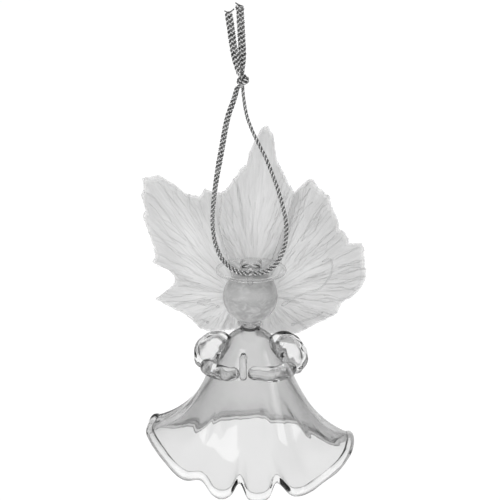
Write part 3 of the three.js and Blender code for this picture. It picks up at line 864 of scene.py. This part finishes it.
class FibreMat:
    """A fan of spun glass: two ruffled faces about its centre, and loose fibres over its edge.

    Places on it are (angle, share): the way round, and 0 at the centre to 1 at the edge.
    """

    def __init__(self, node, sweep, step, centre, seed, curl):
        back = Vector((-math.sin(sweep), math.cos(sweep), 0))
        self.node = node
        self.origin = WING_ROOT + Vector((0, step, 0))
        self.across = Vector((math.cos(sweep), math.sin(sweep), 0))
        self.up = Vector((0, 0, math.cos(WING_LEAN))) + back * math.sin(WING_LEAN)
        self.normal = back * math.cos(WING_LEAN) - Vector((0, 0, math.sin(WING_LEAN)))
        self.centre = centre
        self.seed = seed
        self.curl = curl
        self.angles = [2 * math.pi * k / WING_RAYS for k in range(WING_RAYS)]
        self.reach = self.ragged_outline()
        self.points = []
        self.faces = []
        self.fan = []

    def ragged_outline(self):
        """How far the CAD mat goes from the centre along each ray, made uneven."""
        mat = frame["nodes"][self.node].data
        tree = BVHTree.FromPolygons([v.co for v in mat.vertices], [tuple(p.vertices) for p in mat.polygons])
        middle = self.origin + self.across * self.centre[0] + self.up * self.centre[1]
        outline = []
        for a in self.angles:
            direction = self.across * math.cos(a) + self.up * math.sin(a)
            hit = tree.ray_cast(at_v(middle + direction * RAY_START), -direction)
            reach = RAY_START - hit[3] / MM if hit[0] else 0.0
            outline.append(reach + 0.5 * noise.noise(Vector((a * 26, self.seed, 0)))
                           + 0.22 * noise.noise(Vector((a * 90, self.seed, 4))))
        return outline

    def reach_at(self, a):
        return self.reach[round(a / (2 * math.pi) * WING_RAYS) % WING_RAYS]

    def lift(self, a, s, r):
        """Pleats, fine ruffles and the curl of the outer edge, along the mat's normal."""
        pleat = 0.1 * noise.noise(Vector((math.cos(a) * 14, math.sin(a) * 14, self.seed + s * 0.8)))
        fine = 0.07 * noise.noise(Vector((math.cos(a) * 60, math.sin(a) * 60, self.seed + s * 1.5)))
        bend = self.curl * max(0.0, math.cos(a) * r - 14) ** 2 / 300
        return pleat + fine - bend

    def place(self, a, s, face_side):
        """A point on the front (-1) or back (1) face, in metres."""
        distance = s * self.reach_at(a)
        thin = 1 - 0.75 * s ** 6
        offset = self.lift(a, s, distance) + face_side * (WING_HALF * thin)
        flat = (self.across * (self.centre[0] + math.cos(a) * distance)
                + self.up * (self.centre[1] + math.sin(a) * distance))
        return at_v(self.origin + flat + self.normal * offset)

    def add_mat(self):
        """Both faces in rows from the centre outward, joined at the edge."""
        for face_side in (-1, 1):
            for row in range(1, WING_ROWS + 1):
                s = (row / WING_ROWS) ** 0.8
                for a in self.angles:
                    self.points.append(self.place(a, s, face_side))
                    self.fan.append((a / (2 * math.pi), s))
        front_centre = len(self.points)
        back_centre = front_centre + 1
        self.points += [self.place(0, 0.001, -1), self.place(0, 0.001, 1)]
        self.fan += [(0.5, 0), (0.5, 0)]
        back = WING_ROWS * WING_RAYS
        edge = (WING_ROWS - 1) * WING_RAYS
        for k in range(WING_RAYS):
            n = (k + 1) % WING_RAYS
            self.faces.append((front_centre, k, n))
            self.faces.append((back_centre, back + n, back + k))
            for row in range(WING_ROWS - 1):
                near = row * WING_RAYS
                far = near + WING_RAYS
                self.faces.append((near + k, far + k, far + n, near + n))
                self.faces.append((back + near + k, back + near + n, back + far + n, back + far + k))
            self.faces.append((edge + k, back + edge + k, back + edge + n, edge + n))

    def add_strand(self, chance):
        """One loose fibre, a thin closed rod that bows sideways along a face."""
        a = chance.uniform(0, 2 * math.pi)
        r = self.reach_at(a)
        if r < 4:
            return
        low = chance.uniform(0.15, 0.8)
        high = min(1.0 + chance.uniform(-0.1, 1.1) / r, low + chance.uniform(0.2, 0.6))
        bow = chance.uniform(-0.05, 0.05)
        face_side = chance.choice((-1, 1))
        radius = chance.uniform(0.03, 0.06)
        sideways = self.across * -math.sin(a) + self.up * math.cos(a)
        base = len(self.points)
        for q in range(STRAND_KNOTS):
            u = q / (STRAND_KNOTS - 1)
            s = low + (high - low) * u
            swing = a + bow * math.sin(math.pi * u) + 0.012 * math.sin(9 * u + a * 7)
            shift = sideways * ((swing - a) * s * r)
            middle = self.place(a, s, face_side) + (shift + self.normal * face_side * 0.06) * MM
            for c in range(STRAND_SIDES):
                w = 2 * math.pi * c / STRAND_SIDES
                spoke = sideways * math.cos(w) + self.normal * math.sin(w)
                self.points.append(middle + spoke * radius * MM)
                self.fan.append((a / (2 * math.pi), s))
        for q in range(STRAND_KNOTS - 1):
            for c in range(STRAND_SIDES):
                d = (c + 1) % STRAND_SIDES
                low_ring = base + q * STRAND_SIDES
                high_ring = low_ring + STRAND_SIDES
                self.faces.append((low_ring + c, low_ring + d, high_ring + d, high_ring + c))
        end = base + (STRAND_KNOTS - 1) * STRAND_SIDES
        self.faces.append((base, base + 2, base + 1))
        self.faces.append((end, end + 1, end + 2))

    def add(self):
        self.add_mat()
        chance = random.Random(self.seed)
        for _ in range(STRANDS):
            self.add_strand(chance)
        piece = mesh_object(f"{self.node}_fibres", self.points, self.faces)
        layer = piece.data.uv_layers.new(name="fan")
        for loop in piece.data.loops:
            layer.data[loop.index].uv = self.fan[loop.vertex_index]
        dress(piece, "angel", "spun_glass", FIBRE, replaces=[self.node])


def add_wings():
    FibreMat("wing_middle", 0.0, 0.0, (0.5, 8.0), 2, 0.0).add()
    FibreMat("wing_left", -WING_SWEEP, WING_STEP, (-4.0, 1.0), 5, 0.0).add()
    FibreMat("wing_right", WING_SWEEP, WING_STEP, (4.0, 1.0), 9, 0.6).add()


def add_root_cement():
    """The bead of cement that joins the mats to the back of the bodice."""
    pad = rod("wing_root_cement", [(0.0, 3.4, 38.6), (0.0, 6.6, 40.0), (0.0, 10.9, 40.9)],
              lambda t: 1.9 + 0.7 * abs(2 * t - 1), sides=36, steps=40, start_side=(1, 0, 0), flat=1.7)
    ripple(pad, 2.0, 0.25)
    dress(pad, "angel", "cement", CEMENT, replaces=["wing_root_pad"])


# Across and up from the wings' root
STAYS = {
    "upper_right": [(9.5, -2.2), (15, 0.7), (21, 2.6), (24, 6), (24.9, 9.5), (24, 11.8), (21.8, 10.9)],
    "lower_right": [(12.5, -8.5), (16, -7.4), (19.5, -6.4), (22, -5)],
    "upper_left": [(-9.3, -2.8), (-11.2, -1.8), (-13.2, -2.4), (-16, -1.6)],
    "lower_left": [(-12.4, -7.8), (-14.2, -7), (-16.5, -7.2), (-19, -5.8)],
}
STAY_FORWARD = 1.3                        # a stay's middle in front of the middle of its mat


def stay_place(x, up):
    depth = (WING_ROOT.y + WING_STEP + abs(x) * math.tan(WING_SWEEP) + up * math.tan(WING_LEAN)
             - STAY_FORWARD)
    return x, depth, WING_ROOT.z + up


def stay_radius(t):
    """A small bead near the start, and a thin thread beyond it."""
    return 0.25 + 0.25 * math.exp(-((t - 0.04) / 0.05) ** 2)


def add_stays():
    for word, route in STAYS.items():
        stay = rod(f"wing_stay_{word}_glass", [stay_place(x, up) for x, up in route], stay_radius,
                   sides=16, steps=80)
        dress(stay, "angel", "clear_glass", ROD, replaces=[f"wing_stay_{word}"])


# ---- camera and studio ----------------------------------------------------------------------
FLOOR_DROP = 0.10                         # metres from the CAD box down to the floor
# name, place, side and power; the boxes in SEEN_IN_GLASS show in reflections, the others only light
SOFTBOXES = (
    ("key_softbox", (-0.55, -0.7, 0.55), 0.42, 1.2),
    ("key_diffuser", (-0.5, -0.75, 0.5), 0.5, 2.2),
    ("fill_softbox", (1.0, -0.45, 0.3), 0.34, 0.8),
    ("back_softbox", (0.2, 0.8, 0.5), 0.4, 2.5),
)
SEEN_IN_GLASS = ("key_softbox", "fill_softbox")


def look_at_object(thing):
    thing.rotation_euler = (AIM - thing.location).to_track_quat("-Z", "Y").to_euler()


def add_camera():
    camera_data = bpy.data.cameras.new("camera")
    camera_data.sensor_width = SENSOR
    camera_data.lens = SENSOR * VIEW_DISTANCE / FRAME_WIDTH
    camera_data.clip_end = 20
    camera = bpy.data.objects.new("camera", camera_data)
    bpy.context.scene.collection.objects.link(camera)
    view = Vector((0, -math.cos(VIEW_ELEVATION), math.sin(VIEW_ELEVATION)))
    camera.location = AIM + VIEW_DISTANCE * view
    look_at_object(camera)
    bpy.context.scene.camera = camera


def set_light_paths():
    """Enough bounces for glass behind glass, and no caustics."""
    scene = bpy.context.scene
    scene.view_settings.view_transform = "Standard"
    scene.cycles.caustics_refractive = False
    scene.cycles.caustics_reflective = False
    scene.cycles.max_bounces = 24
    scene.cycles.transmission_bounces = 24
    scene.cycles.transparent_max_bounces = 24


def add_tent():
    """The room the glass sees: a white tent, darker above and at the sides. The camera sees white."""
    world = bpy.data.worlds.new("studio")
    bpy.context.scene.world = world
    world.use_nodes = True
    nodes = world.node_tree.nodes
    links = world.node_tree.links
    sky = nodes["Background"]
    place = nodes.new("ShaderNodeTexCoord")
    split = nodes.new("ShaderNodeSeparateXYZ")
    links.new(place.outputs["Generated"], split.inputs["Vector"])
    height = nodes.new("ShaderNodeMapRange")
    height.inputs["From Min"].default_value = -1
    height.inputs["From Max"].default_value = 1
    links.new(split.outputs["Z"], height.inputs["Value"])
    bands = ramp_node(nodes, [(0.0, 0.8), (0.5, 1.0), (0.6, 0.95), (0.68, 0.6), (0.8, 0.6),
                              (0.9, 0.75), (1.0, 0.75)])
    links.new(height.outputs["Result"], bands.inputs["Fac"])
    sideways = nodes.new("ShaderNodeMath")
    sideways.operation = "ABSOLUTE"
    links.new(split.outputs["X"], sideways.inputs[0])
    flags = ramp_node(nodes, [(0.0, 1.0), (0.5, 1.0), (0.68, 0.3), (0.9, 0.06)])
    links.new(sideways.outputs["Value"], flags.inputs["Fac"])
    straight = nodes.new("ShaderNodeLightPath")
    pick = nodes.new("ShaderNodeMix")
    pick.data_type = "RGBA"
    pick.inputs[MIX_B].default_value = (1, 1, 1, 1)
    links.new(straight.outputs["Is Camera Ray"], pick.inputs["Factor"])
    links.new(multiply_node(nodes, links, bands.outputs["Color"], flags.outputs["Color"]),
              pick.inputs[MIX_A])
    links.new(pick.outputs[MIX_RESULT], sky.inputs["Color"])
    sky.inputs["Strength"].default_value = 1.0


def add_softboxes():
    for name, place, size, power in SOFTBOXES:
        light_data = bpy.data.lights.new(name, "AREA")
        light_data.shape = "SQUARE"
        light_data.size = size
        light_data.energy = power
        light = bpy.data.objects.new(name, light_data)
        light.visible_glossy = light.visible_transmission = name in SEEN_IN_GLASS
        bpy.context.scene.collection.objects.link(light)
        light.location = place
        look_at_object(light)


def add_floor():
    floor = mesh_object("floor", [(-3, -3, 0), (3, -3, 0), (3, 3, 0), (-3, 3, 0)], [(0, 1, 2, 3)])
    floor.location.z = cad_box[0][2] - FLOOR_DROP
    look = Look("floor_look")
    look.set(Base_Color=(0.93, 0.93, 0.93, 1), Roughness=0.8, Emission_Color=(1, 1, 1, 1),
             Emission_Strength=0.26)
    floor.data.materials.append(look.material)


def free_glass_from_shadows():
    """Clear glass throws no shadow and no bounced grey, as light goes through it."""
    for piece in bpy.context.scene.objects:
        if piece.type == "MESH" and any(m in (CLEAR, ROD, PUFF, FINE, CEMENT) for m in piece.data.materials):
            piece.visible_shadow = False
            piece.visible_diffuse = False


# ---- the scene ------------------------------------------------------------------------------
add_camera()
add_ribbon()
add_bell()
add_head()
add_neck()
add_halo()
add_eye()
add_bridge()
for arm_word, arm_side in (("left", -1), ("right", 1)):
    arm_route = arm_points(arm_side)
    add_sleeve(arm_word, arm_route)
    add_forearm(arm_word, arm_route)
add_candle()
add_wings()
add_root_cement()
add_stays()
set_light_paths()
add_tent()
add_softboxes()
add_floor()
free_glass_from_shadows()
